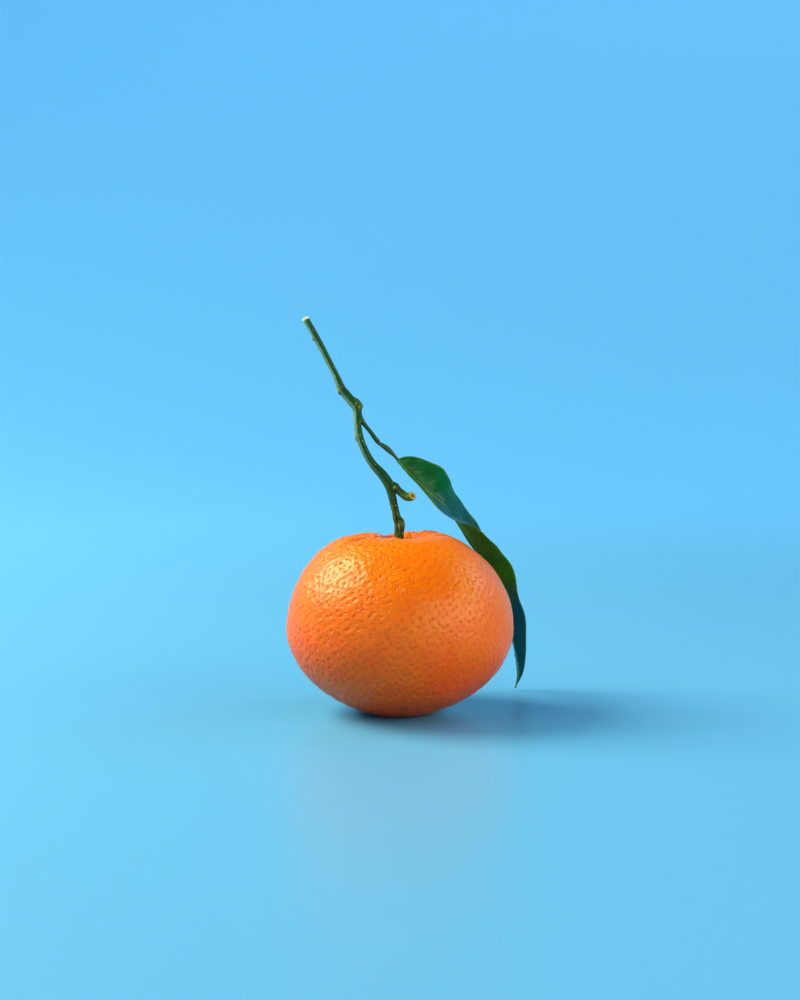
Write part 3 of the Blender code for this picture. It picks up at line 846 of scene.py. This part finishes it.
def bladeShape():
    # middle surface of the blade. half width = most (s/m)^(m p) ((1-s)/(1-m))^((1-m) p), widest at s = m;
    # each half leaves the midrib along cos(fold) across + sin(fold) face; the fold grows outwards and the
    # margin waves
    shares = np.linspace(0, 1, blade["rows"])
    midrib = smoothRows(np.asarray(blade["midrib"]) * mm, blade["rows"]) + stalkFoot
    _, front, side = pathFrames(midrib)
    turns = np.array(blade["turns"], float)
    roll, frontFold, backFold = np.radians(through(turns[:, 0], turns[:, 1:], shares)).T
    face = np.cos(roll)[:, None] * side + np.sin(roll)[:, None] * front
    across = np.cos(roll)[:, None] * front - np.sin(roll)[:, None] * side
    widestAt, pointedness = blade["widestAt"], blade["pointedness"]
    towardsBase = (shares / widestAt) ** (widestAt * pointedness)
    towardsTip = ((1 - shares) / (1 - widestAt)) ** ((1 - widestAt) * pointedness)
    halfWidth = np.maximum(blade["halfWidth"] * towardsBase * towardsTip, blade["tipHalfWidth"])
    quarter = 0.98 * math.pi / 2  # columns crowd towards the margins
    columns = np.sin(np.linspace(-quarter, quarter, blade["columns"])) / math.sin(quarter)
    fold = np.where(columns > 0, frontFold[:, None], backFold[:, None])
    fold = fold * (blade["crease"] + (1 - blade["crease"]) * np.abs(columns))
    out = halfWidth[:, None] * columns
    lift = np.abs(out) * np.sin(fold)
    wave = blade["wave"] * np.sin(2 * math.pi * (blade["waves"] * shares + 0.25))
    lift = lift + (wave * halfWidth / blade["halfWidth"])[:, None] * columns**2
    spread = (out * np.cos(fold))[:, :, None] * across[:, None]
    surface = midrib[:, None] + spread + lift[:, :, None] * face[:, None]
    return surface, np.broadcast_to(face[:, None], surface.shape), out, halfWidth, columns


def makeLeafBlade():
    surface, face, out, halfWidth, columns = bladeShape()
    rows, count = surface.shape[:2]
    normals = gridNormals(surface, False)
    normals = normals * np.sign((normals * face).sum(axis=2))[:, :, None]
    middleLine = surface[:, count // 2]
    lengths = np.cumsum(np.linalg.norm(np.diff(middleLine, axis=0, prepend=middleLine[:1]), axis=1))
    along = np.broadcast_to(lengths[:, None], (rows, count))
    # side veins leave the midrib at about 50 degrees and bend to the tip; the phase grows by one a vein
    bend = np.abs(out) * 0.75 + 0.35 * out**2 / halfWidth[:, None]
    phase = (along - bend) / blade["veinSpacing"] + np.where(columns > 0, 0.5, 0)
    fromVein = np.abs(phase - np.floor(phase) - 0.5) * 2
    edge = np.abs(columns)[None] + 0 * along
    fading = smoothStep(1, 0.75, edge) * smoothStep(0, 0.12, edge)
    quilt = blade["quilting"] * (1 - smoothStep(0.72, 1.0, fromVein)) * fading
    slow = softNoise(surface, 6 * mm, 41) * blade["unevenness"] * smoothStep(0, 0.4, edge)
    groove = blade["groove"] * bell(out, blade["grooveWidth"])
    tapering = np.sqrt(np.clip(1 - along / lengths[-1], 0.05, 1))
    keel = blade["keel"] * tapering * bell(out, blade["keelWidth"] * tapering)
    half = blade["thickness"] / 2 * np.sqrt(np.clip(1 - edge**10, 0.02, 1))
    middle = surface + normals * slow[:, :, None]
    top = middle + normals * (half + quilt - groove)[:, :, None]
    veinRise = blade["veinRise"] * fading * smoothStep(0.8, 1, fromVein)
    bottom = middle - normals * (half + keel - quilt + veinRise)[:, :, None]
    mesh = meshOf("leafBlade", *closedTube(np.concatenate((top, bottom[:, ::-1]), axis=1)))
    # the rings run over the top and back over the underside
    addMarks(mesh, {"upper": np.concatenate((0 * out + 1, 0 * out), axis=1)}, (1, 1))
    marks = {"phase": phase, "out": out / mm, "edge": edge}
    marks = {name: np.concatenate((half, half[:, ::-1]), axis=1) for name, half in marks.items()}
    addMarks(mesh, marks, (0, 0))
    addPiece("leafBlade", mesh, leafMaterial(), "leaf_blade")


def leafMaterial():
    # evergreen citrus leaf: a thick glossy cuticle over deep green above, duller olive green below;
    # the midrib and side veins are paler lines, with a mesh of fine veins between them
    material, add, shader = newMaterial("cuticledCitrusLeaf")
    place = add("TexCoord", output="Object")
    marks = readMarks(add, "upper", "phase", "out", "edge")
    mottle = add("TexNoise", {"Vector": place, "Scale": 1 / (3.5 * mm), "Detail": 4})
    # painted reflection: towards the tip the underside is tinted teal
    height = add("SeparateXYZ", {"Vector": place}, "Z")
    tipReflectionShare = add("MapRange", {"Value": height, "From Min": 40 * mm, "From Max": 27 * mm,
        "To Max": 0.9}, **eased)
    # painted sheen: the upper face is tinted blue-grey below the leaf's widest part
    paintedBlueSheen = add("MapRange", {"Value": height, "From Min": 67 * mm, "From Max": 57 * mm,
        "To Max": 0.6}, **eased)
    # side veins: bright where the phase is near a whole number, fading out towards the margin
    wholes = add("Math", {0: marks["phase"]}, operation="FRACT")
    fromMiddle = add("Math", {0: wholes, 1: 0.5}, operation="SUBTRACT")
    fromWhole = add("Math", {0: fromMiddle}, operation="ABSOLUTE")
    vein = add("MapRange", {"Value": fromWhole, "From Min": 0.46, "From Max": 0.495,
        "To Max": 0.1}, **eased)
    inside = add("MapRange", {"Value": marks["edge"], "From Min": 0.95, "From Max": 0.5}, **eased)
    veinShare = add("Math", {0: vein, 1: inside}, operation="MULTIPLY")
    fromMidrib = add("Math", {0: marks["out"]}, operation="ABSOLUTE")
    midrib = add("MapRange", {"Value": fromMidrib, "From Min": 0.4, "From Max": 0.15,
        "To Max": 0.4}, **eased)
    lines = add("Math", {0: veinShare, 1: midrib}, operation="MAXIMUM")
    net = add("TexVoronoi", {"Vector": place, "Scale": 1 / (1.1 * mm)}, feature="DISTANCE_TO_EDGE")
    netShare = add("MapRange", {"Value": net, "From Min": 0.08, "From Max": 0.0, "To Max": 0.04})
    # the margin is a thin pale line
    margin = add("MapRange", {"Value": marks["edge"], "From Min": 0.93, "From Max": 0.99, "To Max": 0.55})
    # colours laid over each other by their own shares: the upper face's, then the underside's, and over it
    # the upper one's where the leaf faces up, and the pale lines
    top, skin = "#00421C", "#205F12"
    # 0A4456 is the painted blue-grey sheen
    for share, color in ((mottle, "#047432"), (paintedBlueSheen, "#0A4456")):
        top = add("Mix", {"Factor": share, "A": top, "B": color}, data_type="RGBA")
    for share, color in (
            # 0C6072 is the painted teal reflection near the tip
            (mottle, "#509E28"), (tipReflectionShare, "#0C6072"), (marks["upper"], top), (lines, "#7FA060"),
            (netShare, "#6F9A4A"), (margin, "#7A9A46")):
        skin = add("Mix", {"Factor": share, "A": skin, "B": color}, data_type="RGBA")
    # the cuticle is thick above and near the tip, thin and dull below
    waxed = add("Math", {0: marks["upper"], 1: tipReflectionShare}, operation="MAXIMUM")
    roughness = add("MapRange", {"Value": waxed, "To Min": 0.6, "To Max": 0.2})
    veins = add("Bump", {"Height": netShare, "Distance": 0.12 * mm})
    relief = add("Bump", {"Height": mottle, "Distance": 0.25 * mm, "Normal": veins})
    feed(shader, {"Base Color": skin, "Roughness": roughness, "Normal": relief, "IOR": 1.4,
        "Specular IOR Level": 0.2, "Subsurface Weight": 0.1, "Subsurface Radius": (0.35, 1.0, 0.15),
        "Subsurface Scale": 0.5 * mm})
    return material


stage = {"floorRadius": 0.9, "bendRadius": 0.6, "wallTop": 0.95, "columns": 96}


def addStage():
    # a round bowl: level floor, then a quarter circle up to a wall, turned about the middle
    bend = np.linspace(0, math.pi / 2, 25)
    radii = np.concatenate(((0.05, 0.3), stage["floorRadius"] + stage["bendRadius"] * np.sin(bend)))
    heights = np.concatenate(((0, 0), stage["bendRadius"] * (1 - np.cos(bend))))
    radii, heights = np.append(radii, radii[-1]), np.append(heights, stage["wallTop"])
    turns = -evenTurns(stage["columns"])
    radii, heights = radii[:, None], heights[:, None]
    rings = np.stack((radii * np.cos(turns), radii * np.sin(turns), heights + 0 * turns), axis=-1)
    middle = np.arange(len(turns))[None, ::-1]
    mesh = meshOf("sweep", rings.reshape(-1, 3), [gridQuads(*rings.shape[:2], True), middle])
    material, add, shader = newMaterial("palePaintedSweep")
    # painted light: the far side of the sweep glows, rising along the floor and fading out near the wall's
    # top
    place = add("TexCoord", output="Object")
    parts = add("SeparateXYZ", {"Vector": place}).node.outputs
    rise = add("MapRange", {"Value": parts["Y"], "From Min": 0.2, "From Max": 1.0, "To Max": 0.27}, **eased)
    fade = add("MapRange", {"Value": parts["Z"], "From Min": 0.9, "From Max": 0.6}, **eased)
    glow = add("Math", {0: rise, 1: fade}, operation="MULTIPLY")
    feed(shader, {
        "Base Color": "#62B2E4", "Roughness": 0.4, "Emission Color": "#78C6EE", "Emission Strength": glow})
    material.cycles.emission_sampling = "NONE"
    mesh.materials.append(material)
    addObject("sweep", mesh)


ambient = {"color": "#9CC8E4", "strength": 0.11}
lights = {
    # degrees round from the camera (plus is its right) and up from the floor, metres away, width, height,
    # the brightness of the panel itself and its colour
    "key": (-104, 42, 1.20, 0.77, 0.69, 13.2, "#FFE9C8"),
    "front": (-53, 42, 1.20, 0.66, 0.64, 2.9, "#FFE6BE"),
    "low": (-8, 4, 1.20, 1.50, 0.36, 1.5, "#FFDDB4"),
    "fill": (60, 17, 1.20, 1.66, 0.76, 3.4, "#FFE9C6"),
    "kicker": (116, 34, 1.20, 0.38, 0.52, 3.0, "#EAF4FF"),
}


def addLights():
    # an area lamp shines with watts / (pi area) all over its face, so its watts are brightness pi area
    world = bpy.data.worlds.new("studio")
    world.use_nodes = True
    background = world.node_tree.nodes["Background"]
    feed(background, {"Color": ambient["color"], "Strength": ambient["strength"]})
    bpy.context.scene.world = world
    for name, (bearing, lift, away, width, height, brightness, color) in lights.items():
        lamp = bpy.data.lights.new(name, "AREA")
        lamp.shape = "RECTANGLE"
        lamp.size = width
        lamp.size_y = height
        lamp.energy = brightness * math.pi * width * height
        lamp.color = hexColor(color)[:3]
        bearing, lift = math.radians(bearing), math.radians(lift)
        holder = addObject(name, lamp)
        holder.location = (
            away * math.sin(bearing) * math.cos(lift),
            -away * math.cos(bearing) * math.cos(lift),
            away * math.sin(lift) + fruit["widest"] * fruit["radius"])
        holder.rotation_euler = (math.pi / 2 - lift, 0, bearing)
        holder.visible_camera = False


addCamera()
makeFruit()
makeCalyx()
makeTwig()
makePetiole()
makeLeafBlade()
addStage()
addLights()
bpy.context.scene.view_settings.view_transform = "Standard"
bpy.context.scene.view_settings.look = "Medium High Contrast"
